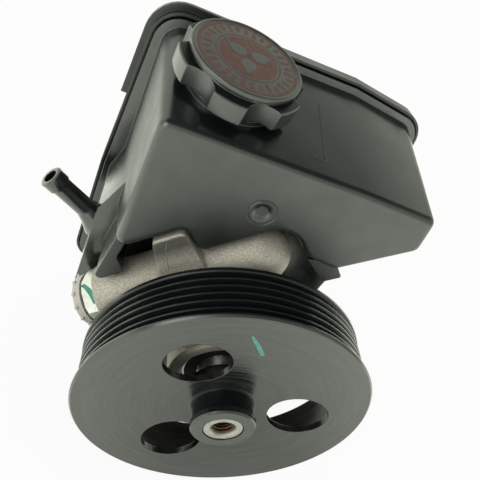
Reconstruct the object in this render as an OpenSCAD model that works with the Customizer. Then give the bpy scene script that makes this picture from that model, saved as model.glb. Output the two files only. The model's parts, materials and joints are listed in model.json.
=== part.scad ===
// Vane-type power steering pump with a grooved belt pulley and a moulded plastic reservoir.
// The shaft runs along Y, the pulley faces -Y, +Z is up, and Y = 0 is the mounting plane.

/* [Pulley] */
// Radius of the front flange of the pulley
pulley_r = 62.5; // [58:0.5:72]
// Radius of the rear flange of the pulley
pulley_rear_r = 61.5; // [58:0.5:71]
// Number of belt grooves
groove_count = 6; // [4:1:7]
// Distance from one belt groove to the next
groove_pitch = 3.56; // [3:0.01:4]
// Depth of a belt groove
groove_depth = 3; // [2:0.1:3.4]
// Width of the flat crest of a belt rib
rib_crest_w = 0.7; // [0.4:0.1:1]
// Width of each end flange of the rim
flange_w = 1.5; // [1:0.1:3]
// Height of the rear flange over the belt ribs
flange_rise = 0.4; // [0.1:0.1:1.2]
// Wall of the rim under the belt grooves
rim_wall = 3; // [2:0.1:4]
// Thickness of the pulley plate
plate_t = 3; // [2:0.1:4]
// Depth of the plate at the hub, below the front flange
plate_dish = 3.9; // [0.5:0.1:5]
// Radius of the puller flange on the hub
hub_r = 13.7; // [12:0.1:16]
// Depth of the puller groove in the hub
hub_groove = 1; // [0.8:0.1:2.2]
// Width of the puller flange on the hub
hub_lip = 3; // [2:0.1:4]
// Length of hub that stands before the plate
hub_proud = 11.3; // [8:0.1:14]
// Length of hub behind the plate
hub_back = 7.4; // [4:0.1:7.8]
// Radius of the access holes in the plate
access_r = 13.4; // [9:0.1:15]
// Gap between the rear edge of the pulley and the mounting plane
pulley_gap = 6.7; // [5:0.1:12]

/* [Mounting] */
// Radius of the circle of mounting bolts
bolt_circle_r = 33.6; // [31:0.1:36]
// Tapping radius of a mounting bolt hole
bolt_r = 3.4; // [2.5:0.1:4.3]
// Depth of a mounting bolt hole
bolt_depth = 15; // [8:0.5:17]
// Wall round a mounting bolt hole
bolt_wall = 5.8; // [4:0.1:8]
// Angle of the first mounting bolt, from +X towards +Z
bolt_deg = 9; // [0:1:20]

/* [Shaft and bearing] */
// Radius of the drive shaft in the pulley, bearing and seal
shaft_r = 8.5; // [8:0.1:9]
// Radius of the drive shaft in its rear bush
bush_shaft_r = 7.6; // [7:0.1:7.8]
// Radius over the spline of the drive shaft
spline_r = 6.8; // [6.2:0.1:6.9]
// Tapping radius of the puller thread in the shaft end
shaft_tap_r = 4.25; // [3:0.05:5]
// Depth of the puller thread in the shaft end
shaft_tap_depth = 22; // [12:0.5:30]
// Outer radius of the ball bearing
bearing_r = 20; // [18.5:0.1:21]
// Width of the ball bearing
bearing_w = 12; // [10:0.1:13]
// Radius of a bearing ball
ball_r = 3.3; // [2.6:0.1:3.6]
// Number of bearing balls
ball_count = 8; // [6:1:9]
// Length of the housing nose before the mounting plane
nose_len = 14; // [13:0.1:15]
// Wall of the housing nose round the bearing
nose_wall = 4.5; // [3:0.1:8]
// Outer radius of the shaft seal
seal_r = 14.5; // [12:0.1:16]
// Width of the shaft seal
seal_w = 6.5; // [5:0.1:7]

/* [Pump cartridge] */
// Outer radius of the cam ring and its end plates
cartridge_r = 27; // [26:0.1:28.5]
// Width of the cam ring
cam_w = 16; // [12:0.1:20]
// Smallest radius of the cam track
cam_minor_r = 19.5; // [18:0.1:20]
// Lift of the cam track
cam_lift = 1.8; // [0.5:0.1:2.2]
// Number of vanes
vane_count = 10; // [8:1:12]
// Thickness of a vane
vane_t = 1.5; // [1:0.1:2]
// Radial height of a vane
vane_h = 6; // [4:0.1:6.5]
// Thickness of the thrust plate before the cam ring
thrust_plate_t = 6; // [4:0.1:8]
// Thickness of the pressure plate behind the cam ring
pressure_plate_t = 8; // [6:0.1:10]
// Room for the spring behind the pressure plate
spring_room = 7; // [6:0.1:8]
// Thickness of the end cover
end_cover_t = 7; // [6:0.1:9]
// Radius of a dowel pin
dowel_r = 1.8; // [1.2:0.1:2]

/* [Housing] */
// Outer radius of the rear barrel of the housing
barrel_r = 34; // [32.5:0.1:35]
// Outer radius of the front body of the housing
body_r = 36; // [35.5:0.1:40]
// Rear face of the front body, behind the mounting plane
body_rear_y = 23.2; // [23:0.1:25]
// Start of the pump cavity behind the mounting plane
cavity_y = 20; // [18:0.1:21]
// Slant of the valve boss, from +X towards +Z
valve_deg = 43; // [38:1:46]
// Radius of the valve boss
valve_boss_r = 13; // [11:0.1:13]
// Distance of the valve axis from the shaft axis
valve_off = 45.6; // [45:0.1:47]
// Distance of the valve axis behind the mounting plane
valve_y = 9.8; // [9.2:0.1:10]
// Length of the valve boss on its outlet side
valve_out_len = 36; // [33:0.5:38]
// Length of the valve boss on its blind side
valve_blind_len = 46.3; // [42:0.1:47.5]
// Radius of the valve bore
valve_bore_r = 7.6; // [6:0.1:8]

/* [Flow valve and outlet] */
// Length of the valve spool
spool_len = 26; // [20:0.5:30]
// Travel of the valve spool
spool_travel = 6; // [3:0.5:7]
// Width across the flats of the outlet fitting
outlet_af = 21; // [20:0.5:24]
// Length of the hexagon of the outlet fitting
outlet_hex_len = 6; // [4:0.5:10]
// Radius of the thread of the outlet fitting
outlet_thread_r = 9.4; // [8.8:0.1:9.6]
// Length of the thread of the outlet fitting
outlet_thread_len = 15; // [10:0.5:16]
// Radius of the bore of the outlet fitting
outlet_bore_r = 4.6; // [3:0.1:5]
// Radius of the flange of the dust plug
plug_flange_r = 10.9; // [8:0.1:11.5]
// Thickness of the flange of the dust plug
plug_flange_t = 3.2; // [1.5:0.1:4]

/* [Reservoir] */
// Wall of the reservoir
res_wall = 2.5; // [1.8:0.1:3]
// Distance of the reservoir front behind the mounting plane
res_front_y = 1; // [0.5:0.1:3]
// Distance of the weld plane behind the mounting plane
weld_y = 60; // [57:0.5:64]
// Depth of the rear shell behind the weld plane
rear_depth = 27; // [22:0.5:36]
// Left side of the reservoir at its front
res_left = 63; // [61:0.5:66]
// Right side of the reservoir at its front
res_right = 45.5; // [42:0.5:47]
// Height of the top at the front
res_top = 101; // [98:0.5:106]
// Slope of the top, rising to the rear
top_slope = 11.5; // [8:0.5:13]
// Draft of the side walls
side_draft = 5.5; // [3:0.5:8]
// Height of the foot of the left column at its front
column_foot = -8; // [-12:0.5:4]
// Drop of the column towards the rear
column_drop = 8; // [0:0.5:10]
// Outer radius of the can round the pump barrel
can_r = 48; // [46:0.5:50]
// Reach of the weld flanges beyond the walls
weld_flange = 4.6; // [4:0.1:7]
// Thickness of a weld flange
weld_flange_t = 3.2; // [2:0.1:4]
// Width of the lip of the rear weld flange round the front one
weld_lip = 1.1; // [0.8:0.1:1.6]
// Rounding of the front edges
edge_r = 2.4; // [1:0.1:2.6]
// Rounding of the rear shell edges
rear_edge_r = 4; // [2:0.5:4.5]
// Clearance of the moulding round the valve boss
arch_gap = 1.7; // [0.8:0.1:2.5]
// Radius of the return hose nipple
nipple_r = 4.3; // [3.6:0.1:5]
// Radius of the bead at the end of the nipple
nipple_bead_r = 5; // [4:0.1:6]
// Length of the bead at the end of the nipple
nipple_bead_len = 5; // [4:0.1:7]
// Radius of the bore of the nipple
nipple_bore_r = 3; // [2:0.1:3.3]

/* [Filler cap] */
// Radius of the crown disc of the cap
crown_r = 20.7; // [19.5:0.1:22]
// Thickness of the crown disc
crown_t = 2; // [1.5:0.1:2.5]
// Radius over the grip lobes of the cap
lobe_r = 23.8; // [22.5:0.1:25]
// Height of the cap
cap_h = 11; // [9:0.1:12]
// Number of finger scoops round the cap
scoop_count = 6; // [5:1:8]
// Radius of a finger scoop
scoop_r = 7.5; // [5:0.1:9]
// Depth of a finger scoop
scoop_depth = 4.5; // [2:0.1:5]
// Height of the crown over the reservoir top
cap_rise = 14.3; // [13:0.1:16]
// Sideways place of the cap, left of the shaft axis
cap_x = 40.4; // [38.5:0.1:42]
// Distance of the crown behind the mounting plane
cap_y = 27.5; // [26.5:0.1:29]
// Outer radius of the filler neck
neck_r = 17; // [15.5:0.1:17.4]
// Wall of the filler neck
neck_wall = 2.5; // [1.8:0.1:3]
// Length of the dipstick
dipstick_len = 56; // [40:1:60]

/* [Hidden] */
$fn = 64;

// Clearances shared by the pieces that fit together
press_gap = 0.01;
run_gap = 0.05;
slide_gap = 0.04;
seat_gap = 0.1;
part_gap = 0.3;
oring_gap = 0.05;
oring_r = 1.6;
oring_groove_w = 2 * oring_r + 0.2;
oring_groove_h = 2 * oring_r + 2 * oring_gap;
cut = 1;

// Places along the shaft
pulley_w = groove_count * groove_pitch + 2 * flange_w;
pulley_rear_y = -pulley_gap;
pulley_front_y = pulley_rear_y - pulley_w;
plate_front_y = pulley_front_y + plate_dish;
plate_rear_y = plate_front_y + plate_t;
hub_front_y = plate_front_y - hub_proud;
hub_rear_y = plate_rear_y + hub_back;
crest_r = pulley_rear_r - flange_rise;
rim_in_r = crest_r - groove_depth - rim_wall;
bolt_step = 120;
bolt_count = 3;
snap_t = 1.4;
bearing_rear_y = 1.5;
bearing_front_y = bearing_rear_y - bearing_w;
bearing_mid_y = bearing_rear_y - bearing_w / 2;
seal_rear_y = bearing_rear_y + seal_w + part_gap;
shaft_step_y = seal_rear_y + part_gap;
bush_front_y = shaft_step_y + part_gap;
bush_wall = 2;
thrust_y = cavity_y;
cam_y = thrust_y + thrust_plate_t;
cam_rear_y = cam_y + cam_w;
pressure_rear_y = cam_rear_y + pressure_plate_t;
cover_y = pressure_rear_y + spring_room;
cover_rear_y = cover_y + end_cover_t;
cover_ring_y = cover_rear_y + seat_gap;
barrel_rear_y = cover_ring_y + snap_t + 3;
dowel_end_y = cam_rear_y + 2.2;
pressure_oring_y = pressure_rear_y - oring_r - 0.9;
cover_oring_y = cover_y + end_cover_t / 2;
cavity_r = cartridge_r + seat_gap;
rotor_r = cam_minor_r - 0.25;
vane_tip_r = cam_minor_r - 0.15;
rotor_ring_y = cam_rear_y + 1.2;
shaft_recess = 0.4;
shaft_front_y = hub_front_y + shaft_recess;
shaft_rear_y = rotor_ring_y + snap_t + 2;
dowel_wall = 0.9;
dowel_pitch_r = cartridge_r - dowel_r - dowel_wall;

// Bearing sections
bearing_pitch_r = (bearing_r + shaft_r) / 2;
inlet_port_deg = 10;
race_groove_r = ball_r + run_gap;
race_gap = ball_r * 0.85;

// Places along the slanted valve boss
valve_c = cos(valve_deg);
valve_s = sin(valve_deg);
blind_round_u = valve_blind_len - valve_boss_r;
outlet_shank_u = -valve_out_len;
shank_end_u = outlet_shank_u + outlet_thread_len;
spool_front_u = shank_end_u + seat_gap;
spool_rear_u = spool_front_u + spool_len;
spool_cup_r = valve_bore_r - 2.2;
spool_cup_u = spool_rear_u - 8;
bore_end_u = valve_blind_len - 9;
plug_u = outlet_shank_u - outlet_hex_len;
hex_turn = 18;
outlet_oring_u = outlet_shank_u + 2.4;
outlet_oring_r = 1.2;
plug_gap = 1;

// Reservoir planes
can_y = body_rear_y + seat_gap;
rear_y = weld_y + rear_depth;
arch_n = valve_off + valve_boss_r + arch_gap;
notch_n = arch_n + 13;
collar_r = barrel_r + seat_gap;
collar_len = 12;
res_oring_y = can_y + collar_len / 2;
ridge_x = 13;
ridge_rise = 3;
box_start_x = -22;
weld_start_x = -50;
hip_out = 2.7;
hip_down = 14.8;
notch_u = 12.7;
notch_lean = 1;
arch_end_u = 50.2;
shoulder_u = 60.5;
shoulder_n = 32;
panel_out = 9;
panel_x = -res_left - panel_out;
panel_top = 42;
foot_round = 8;
panel_root_z = 74;
can_root_z = 86;
root_in = 6;
can_steps = 24;
can_start_deg = 180 + asin((column_drop - column_foot) / can_r);
can_end_deg = 400;
tank_hip_z = 68;
leg_n = arch_n + 0.3;
weld_step = 0.8;
weld_gap = 0.7;
weld_ear = 2.4;
ear_end_x = -36;
ear_foot_z = 76;
weld_corner_steps = 8;
rim_y = weld_y - weld_step - weld_flange_t;
rear_rim_y = weld_y + weld_step + weld_flange_t;
gate_x = -18;
gate_z = 80.2;
nipple_tip = [-93.3, 32, 43.8];
nipple_root = [-69.5, 35.7, 25.6];
nipple_len = norm(nipple_tip - nipple_root);
nipple_axis = (nipple_tip - nipple_root) / nipple_len;
clip_angles = [-20, -105];
clip_ear_t = 4.5;
clip_ear_back = 6;
clip_ear_y = body_rear_y - clip_ear_back;
clip_lug_t = 3;
clip_w = 14;
clip_t = 1.2;
clip_hook = 6;
clip_inset = 1;
clip_reach = 4;
clip_r = can_r + clip_reach;

// Filler cap frame: origin at the middle of the crown, axis square to the sloping top
crown_z = res_top + (cap_y - res_front_y) * tan(top_slope) + cap_rise / cos(top_slope);
cap_top_t = 3;
gasket_t = 1.5;
neck_top = -cap_top_t - gasket_t - 2 * run_gap;
collar_top = -cap_h - 0.8;
ledge_t = crown_t + 1.4;
neck_collar = 1.6;
neck_root = 1;
scoop_deg = -70;

// Colours
col_black = [0.13, 0.14, 0.13];
col_plastic = [0.22, 0.23, 0.21];
col_cast = [0.68, 0.66, 0.63];
col_steel = [0.75, 0.75, 0.76];
col_dark_steel = [0.42, 0.43, 0.45];
col_bronze = [0.72, 0.55, 0.3];
col_rubber = [0.08, 0.08, 0.08];
col_plug = [0.93, 0.88, 0.87];

// Vector and outline helpers
function unit(v) = v / norm(v);
function turn(v, a) = [v.x * cos(a) - v.y * sin(a), v.x * sin(a) + v.y * cos(a)];
function slanted(u, n) = [u * valve_c - n * valve_s, u * valve_s + n * valve_c];
function polar(r, a) = [r * cos(a), r * sin(a)];

// Round corner b of the path a, b, c with a radius, as a list of points
function corner(a, b, c, r, steps) =
  let (
    u = unit(a - b),
    v = unit(c - b),
    half = acos(u * v) / 2,
    middle = b + unit(u + v) * r / sin(half),
    first = b + u * r / tan(half) - middle,
    last = b + v * r / tan(half) - middle,
    sweep = atan2(cross(first, last), first * last)
  )
  [for (i = [0:steps]) middle + turn(first, sweep * i / steps)];

// Outline with each corner [point, radius] rounded
function rounded(corners, steps = 4) =
  let (n = len(corners))
  [
    for (i = [0:n - 1])
      each corners[i][1] == 0
        ? [corners[i][0]]
        : let (before = corners[(i + n - 1) % n][0], after = corners[(i + 1) % n][0])
          corner(before, corners[i][0], after, corners[i][1], steps)
  ];

// Outline moved inwards by d, or outwards where d is below 0
function inset(p, d) =
  let (n = len(p))
  [
    for (i = [0:n - 1])
      let (
        a = unit(p[i] - p[(i + n - 1) % n]),
        b = unit(p[(i + 1) % n] - p[i]),
        na = [-a.y, a.x],
        nb = [-b.y, b.x]
      )
      p[i] + d * (na + nb) / (1 + na * nb)
  ];

function at_y(p, y) = [for (q = p) [q.x, y, q.y]];

// Solid skinned over outlines that follow each other along Y, whose first point sees all the others
module loft(rings) {
  n = len(rings[0]);
  last = len(rings) - 1;
  polyhedron(
    points = [for (ring = rings) each ring],
    faces = concat(
      [[for (i = [0:n - 1]) (n - i) % n]],
      [
        for (k = [0:last - 1], i = [0:n - 1])
          let (j = (i + 1) % n)
          each [[k * n + i, k * n + j, k * n + n + j], [k * n + i, k * n + n + j, k * n + n + i]]
      ],
      [[for (i = [0:n - 1]) last * n + i]]
    ),
    convexity = 6
  );
}

// Turned piece about the shaft axis from points [radius, y]
module turned(points) {
  rotate([-90, 0, 0]) rotate_extrude() polygon(points);
}

// Cylinder along the shaft axis from y0 to y1
module along_y(r, y0, y1) {
  translate([0, y0, 0]) rotate([-90, 0, 0]) cylinder(r = r, h = y1 - y0);
}

// Ring along the shaft axis
module ring_y(r_out, r_in, y0, y1) {
  difference() {
    along_y(r_out, y0, y1);
    along_y(r_in, y0 - cut, y1 + cut);
  }
}

// Split ring with a gap on its underside
module split_ring_y(r_out, r_in, y0, y1, gap) {
  difference() {
    ring_y(r_out, r_in, y0, y1);
    translate([-gap / 2, y0 - cut, -r_out - cut]) cube([gap, y1 - y0 + 2 * cut, r_out]);
  }
}

module oring_y(r, section, y) {
  translate([0, y, 0]) rotate([-90, 0, 0]) rotate_extrude() translate([r, 0]) circle(r = section);
}

// Groove for a seal that closes on a bore of radius r
module oring_groove(r, y) {
  ring_y(r + cut, r - oring_groove_h, y - oring_groove_w / 2, y + oring_groove_w / 2);
}

// Frame of the valve boss: local X along the valve axis, local Z away from the shaft
module valve_frame() {
  rotate([0, -valve_deg, 0]) translate([0, valve_y, valve_off]) children();
}

// Cylinder along the valve axis from u0 to u1
module along_u(r, u0, u1, sides = 64) {
  translate([u0, 0, 0]) rotate([0, 90, 0]) cylinder(r = r, h = u1 - u0, $fn = sides);
}

// Frame of the filler cap: local Z along the cap axis, origin at the middle of the crown
module cap_frame() {
  translate([-cap_x, cap_y, crown_z]) rotate([top_slope, 0, 0]) children();
}

// Pieces spaced round the mounting bolt circle
module at_bolts() {
  for (i = [0:bolt_count - 1])
    rotate([0, -bolt_deg - i * bolt_step, 0]) translate([bolt_circle_r, 0, 0]) children();
}

// Wire coil along local Z, closed at both ends by flat discs of wire
function coil_point(r, pitch, a) = [r * cos(a), r * sin(a), pitch * a / 360];
module coil(r, wire_r, pitch, turns, steps, sides = 8) {
  n = turns * steps;
  points = [
    for (i = [0:n], j = [0:sides - 1])
      let (a = i * 360 / steps, w = j * 360 / sides)
      coil_point(r + wire_r * cos(w), pitch, a) + [0, 0, wire_r * sin(w)]
  ];
  faces = concat(
    [[for (j = [0:sides - 1]) j]],
    [
      for (i = [0:n - 1], j = [0:sides - 1])
        let (k = (j + 1) % sides, a = i * sides, b = a + sides)
        each [[a + j, b + j, b + k], [a + j, b + k, a + k]]
    ],
    [[for (j = [0:sides - 1]) n * sides + sides - 1 - j]]
  );
  polyhedron(points = points, faces = faces, convexity = 8);
}

// Belt pulley with its shallow conical plate and hub, one piece
module pulley() {
  chamfer = 0.8;
  rim_fillet = 4;
  hub_fillet = 1.2;
  root_w = 0.8;
  hub_neck_r = hub_r - hub_groove;
  hub_back_r = hub_neck_r + 1.5;
  grooves_y = pulley_front_y + flange_w;
  bore_r = shaft_r + press_gap;
  face_r = pulley_r - chamfer;
  rim_plate_y = plate_rear_y - plate_dish * (rim_in_r - hub_r) / (face_r - hub_r);
  belt_ribs = [
    for (i = [0:groove_count - 1])
      let (y = grooves_y + (i + 0.5) * groove_pitch)
      each [
        [crest_r, y - groove_pitch / 2 + rib_crest_w / 2],
        [crest_r - groove_depth, y - root_w / 2],
        [crest_r - groove_depth, y + root_w / 2],
        [crest_r, y + groove_pitch / 2 - rib_crest_w / 2]
      ]
  ];
  profile = concat(
    [[face_r, pulley_front_y], [pulley_r, pulley_front_y + chamfer], [pulley_r, grooves_y]],
    belt_ribs,
    [
      [pulley_rear_r, pulley_rear_y - flange_w],
      [pulley_rear_r, pulley_rear_y],
      [rim_in_r, pulley_rear_y]
    ],
    [
      for (a = [0:30:90])
        [rim_in_r - rim_fillet * (1 - cos(a)), rim_plate_y + rim_fillet * (1 - sin(a))]
    ],
    [
      [hub_back_r, plate_rear_y],
      [hub_back_r, hub_rear_y],
      [bore_r, hub_rear_y],
      [bore_r, hub_front_y],
      [hub_r - chamfer, hub_front_y],
      [hub_r, hub_front_y + chamfer],
      [hub_r, hub_front_y + hub_lip],
      [hub_neck_r, hub_front_y + hub_lip + chamfer]
    ],
    [
      for (a = [0:15:90])
        [hub_neck_r + hub_fillet * (1 - cos(a)), plate_front_y - hub_fillet * (1 - sin(a))]
    ]
  );
  color(col_black) difference() {
    turned(profile);
    at_bolts() along_y(access_r, pulley_front_y - cut, plate_rear_y + cut);
  }
}

// Shaft with a tapped front end, a bush journal and a splined rear end
module spline(r, tooth_gap, y0, y1) {
  teeth = 10;
  tooth_w = 2.2 + 2 * tooth_gap;
  tooth_h = 1.1;
  along_y(r - tooth_h + tooth_gap, y0, y1);
  for (i = [0:teeth - 1])
    rotate([0, i * 360 / teeth, 0])
      translate([0, y0, -tooth_w / 2]) cube([r + tooth_gap, y1 - y0, tooth_w]);
}

module drive_shaft() {
  chamfer = 1.4;
  end_bevel = 0.5;
  groove_r = spline_r - 1.4;
  spline_y = cam_y - 1;
  color(col_steel) difference() {
    union() {
      turned([
        [0, shaft_front_y],
        [shaft_r - end_bevel, shaft_front_y],
        [shaft_r, shaft_front_y + end_bevel],
        [shaft_r, shaft_step_y],
        [bush_shaft_r, shaft_step_y],
        [bush_shaft_r, spline_y],
        [0, spline_y]
      ]);
      spline(spline_r, 0, spline_y - press_gap, shaft_rear_y);
    }
    along_y(shaft_tap_r, shaft_front_y - cut, shaft_front_y + shaft_tap_depth);
    turned([
      [0, shaft_front_y - cut],
      [shaft_tap_r + chamfer + cut, shaft_front_y - cut],
      [shaft_tap_r, shaft_front_y + chamfer],
      [0, shaft_front_y + chamfer]
    ]);
    ring_y(spline_r + cut, groove_r, rotor_ring_y, rotor_ring_y + snap_t + seat_gap);
  }
}

// Flat pad on the valve boss, whose front runs tangent into the boss
module boss_pad(rear_y) {
  left = -1.5;
  right = 11.5;
  left_flare = 7;
  right_flare = 3;
  round_r = 2;
  top = notch_n - 1;
  reach = [res_front_y - valve_y, top - valve_off];
  tangent_deg = atan2(reach.y, reach.x) + acos(valve_boss_r / norm(reach));
  foot = polar(valve_boss_r, tangent_deg);
  intersection() {
    translate([left - left_flare - cut, 0, 0]) rotate([90, 0, 90])
      linear_extrude(right - left + left_flare + right_flare + 2 * cut)
        polygon([foot, [rear_y - valve_y, foot.y], [rear_y - valve_y, reach.y], reach]);
    translate([0, rear_y, 0]) rotate([90, 0, 0]) linear_extrude(rear_y + 2 * valve_boss_r)
      polygon(rounded([
        [[left - left_flare, 0], 0],
        [[right + right_flare, 0], 0],
        [[right, reach.y], round_r],
        [[left, reach.y], round_r]
      ]));
  }
}

// Cast housing: nose, front body, barrel, bolt bosses and slanted valve boss
module housing_solid() {
  nose_r = bearing_r + nose_wall;
  bevel = 1.2;
  web_y0 = 3;
  web_y1 = body_rear_y - 3;
  web_left = 18;
  web_right = 26;
  bolt_boss_rear = body_rear_y - 4;
  turned([
    [0, -nose_len],
    [nose_r - bevel, -nose_len],
    [nose_r, -nose_len + bevel],
    [nose_r + bevel / 2, web_y0 - bevel / 2],
    [body_r - 2, web_y0],
    [body_r, web_y0 + 2],
    [body_r, body_rear_y],
    [barrel_r, body_rear_y],
    [barrel_r, barrel_rear_y - bevel],
    [barrel_r - bevel, barrel_rear_y],
    [0, barrel_rear_y]
  ]);
  at_bolts() along_y(bolt_r + bolt_wall, 0, bolt_boss_rear);
  valve_frame() {
    along_u(valve_boss_r, outlet_shank_u, blind_round_u);
    translate([blind_round_u, 0, 0]) sphere(r = valve_boss_r);
    boss_pad(web_y1);
  }
  rotate([0, -valve_deg, 0]) translate([-web_left, web_y0, 0])
    cube([web_left + web_right, web_y1 - web_y0, valve_off]);
  for (a = clip_angles)
    rotate([0, -a, 0]) translate([0, clip_ear_y, -clip_w / 2]) cube([clip_r, clip_ear_t, clip_w]);
}

module pump_housing() {
  bush_r = bush_shaft_r + slide_gap + bush_wall;
  color(col_cast) difference() {
    housing_solid();
    along_y(bearing_r + press_gap, -nose_len - cut, bearing_rear_y);
    ring_y(bearing_r + 1.2, bearing_r - 2, bearing_front_y - snap_t - seat_gap, bearing_front_y);
    along_y(seal_r + press_gap, bearing_rear_y - cut, seal_rear_y);
    along_y(shaft_r + part_gap, seal_rear_y - cut, bush_front_y);
    along_y(bush_r + press_gap, bush_front_y - cut, cavity_y + cut);
    along_y(cavity_r, cavity_y, barrel_rear_y + cut);
    ring_y(cavity_r + 1.5, cavity_r - 2, cover_ring_y, cover_ring_y + snap_t + seat_gap);
    oring_groove(collar_r, res_oring_y);
    at_bolts() along_y(bolt_r, -cut, bolt_depth);
    valve_frame() {
      along_u(valve_bore_r, outlet_shank_u - cut, bore_end_u);
      along_u(outlet_thread_r + press_gap, outlet_shank_u - cut, shank_end_u);
    }
  }
}

// Ball bearing of the shaft
module race_groove() {
  translate([0, bearing_mid_y, 0]) rotate([-90, 0, 0])
    rotate_extrude() translate([bearing_pitch_r, 0]) circle(r = race_groove_r);
}

module bearing_outer_race() {
  color(col_steel) difference() {
    ring_y(bearing_r, bearing_pitch_r + race_gap, bearing_front_y, bearing_rear_y);
    race_groove();
  }
}

module bearing_inner_race() {
  color(col_steel) difference() {
    ring_y(bearing_pitch_r - race_gap, shaft_r + press_gap, bearing_front_y, bearing_rear_y);
    race_groove();
  }
}

module at_balls() {
  for (i = [0:ball_count - 1])
    rotate([0, i * 360 / ball_count, 0]) translate([bearing_pitch_r, bearing_mid_y, 0]) children();
}

module bearing_balls() {
  color(col_steel) at_balls() sphere(r = ball_r);
}

module bearing_cage() {
  half_w = ball_r + 0.9;
  half_t = 0.7;
  color(col_bronze) difference() {
    translate([0, bearing_mid_y, 0])
      ring_y(bearing_pitch_r + half_t, bearing_pitch_r - half_t, -half_w, half_w);
    at_balls() rotate([0, 90, 0]) cylinder(r = ball_r + run_gap, h = 4 * half_t, center = true);
  }
}

// Rubber seals that close both ends of the bearing, seated in the outer race
module bearing_seals() {
  seal_t = 1;
  inset = 0.4;
  outer = bearing_pitch_r + race_gap - press_gap;
  inner = bearing_pitch_r - race_gap + part_gap;
  color(col_rubber) for (y = [bearing_front_y + inset, bearing_rear_y - inset - seal_t])
    ring_y(outer, inner, y, y + seal_t);
}

module bearing_snap_ring() {
  ends_gap = 9;
  color(col_dark_steel)
    split_ring_y(
      bearing_r + 1,
      bearing_r - 1.8,
      bearing_front_y - snap_t,
      bearing_front_y - press_gap,
      ends_gap
    );
}

module shaft_seal() {
  front_y = bearing_rear_y + part_gap;
  lip_r = shaft_r + run_gap;
  color(col_rubber) turned([
    [seal_r, front_y],
    [seal_r, seal_rear_y],
    [seal_r - 1.6, seal_rear_y],
    [seal_r - 1.6, front_y + 1.8],
    [lip_r + 1.6, front_y + 1.8],
    [lip_r + 1.6, seal_rear_y - 1.4],
    [lip_r, seal_rear_y - 2.4],
    [lip_r + 0.5, front_y]
  ]);
}

module rear_bush() {
  bush_r = bush_shaft_r + slide_gap;
  color(col_bronze) ring_y(bush_r + bush_wall, bush_r, bush_front_y, cavity_y - part_gap);
}

// Ports cut through an end plate of the cartridge
module plate_ports(y0, y1, start) {
  port_in_r = 15;
  port_w = 3.2;
  port_span = 44;
  port_r = (cam_minor_r + cam_lift + port_in_r) / 2;
  for (a = [start, start + 180])
    rotate([0, -a, 0]) rotate([-90, 0, 0]) translate([0, 0, y0])
      rotate_extrude(angle = port_span) translate([port_r - port_w / 2, 0]) square([port_w, y1 - y0]);
}

module dowel_holes(y0, y1) {
  for (s = [-1, 1])
    translate([0, 0, s * dowel_pitch_r]) along_y(dowel_r + seat_gap / 2, y0, y1);
}

module thrust_plate() {
  color(col_dark_steel) difference() {
    ring_y(cartridge_r, bush_shaft_r + part_gap, thrust_y, cam_y);
    plate_ports(thrust_y - cut, cam_y + cut, inlet_port_deg);
    dowel_holes(thrust_y - cut, cam_y + cut);
  }
}

// Cam ring with a two-lobed track
module cam_ring() {
  track = [
    for (a = [0:4:356])
      polar(cam_minor_r + cam_lift * (1 + cos(2 * a)) / 2, a)
  ];
  color(col_steel) difference() {
    along_y(cartridge_r, cam_y, cam_rear_y);
    translate([0, cam_y - cut, 0]) rotate([-90, 0, 0]) linear_extrude(cam_w + 2 * cut) polygon(track);
    dowel_holes(cam_y - cut, cam_rear_y + cut);
  }
}

module at_vanes() {
  for (i = [0:vane_count - 1])
    rotate([0, (i + 0.5) * 360 / vane_count, 0]) children();
}

module rotor() {
  slot_w = vane_t + 2 * slide_gap;
  slot_r = vane_tip_r - vane_h - slide_gap - 0.8;
  color(col_dark_steel) difference() {
    along_y(rotor_r, cam_y + run_gap, cam_rear_y - run_gap);
    spline(spline_r, slide_gap, cam_y - cut, cam_rear_y + cut);
    at_vanes() {
      translate([slot_r, cam_y - cut, -slot_w / 2]) cube([rotor_r, cam_w + 2 * cut, slot_w]);
      translate([slot_r, 0, 0]) along_y(slot_w / 2 + 0.4, cam_y - cut, cam_rear_y + cut);
    }
  }
}

module vanes() {
  color(col_steel) at_vanes()
    translate([vane_tip_r - vane_h, cam_y + run_gap, -vane_t / 2])
      cube([vane_h, cam_w - 2 * run_gap, vane_t]);
}

module rotor_snap_ring() {
  ends_gap = 4;
  color(col_dark_steel)
    split_ring_y(spline_r + 2, spline_r - 1.35, rotor_ring_y + seat_gap / 2, rotor_ring_y + snap_t, ends_gap);
}

module dowel_pins() {
  color(col_steel) for (s = [-1, 1])
    translate([0, 0, s * dowel_pitch_r])
      along_y(dowel_r, thrust_y + 1, dowel_end_y);
}

// Rear plate of the cartridge, with a blind pocket for the shaft end and a groove for its seal
module pressure_plate() {
  pocket_r = spline_r + 2.6;
  color(col_dark_steel) difference() {
    along_y(cartridge_r, cam_rear_y, pressure_rear_y);
    along_y(pocket_r, cam_rear_y - cut, shaft_rear_y + part_gap);
    plate_ports(cam_rear_y - cut, pressure_rear_y + cut, inlet_port_deg + 90);
    dowel_holes(cam_rear_y - cut, dowel_end_y + seat_gap);
    oring_groove(cavity_r, pressure_oring_y);
  }
}

module pressure_plate_oring() {
  color(col_rubber) oring_y(cavity_r - oring_gap - oring_r, oring_r, pressure_oring_y);
}

module pressure_plate_spring() {
  wire = spring_room / 8;
  coil_r = cartridge_r * 0.45;
  turns = 2;
  room = spring_room - 2 * wire - 2 * run_gap;
  color(col_steel) translate([0, pressure_rear_y + wire + run_gap, 0]) rotate([-90, 0, 0])
    coil(coil_r, wire, room / turns, turns, 20);
}

module end_cover() {
  dish = 3;
  color(col_cast) difference() {
    along_y(cartridge_r, cover_y, cover_rear_y);
    along_y(cartridge_r - 10, cover_rear_y - dish, cover_rear_y + cut);
    oring_groove(cavity_r, cover_oring_y);
  }
}

module end_cover_oring() {
  color(col_rubber) oring_y(cavity_r - oring_gap - oring_r, oring_r, cover_oring_y);
}

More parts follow.
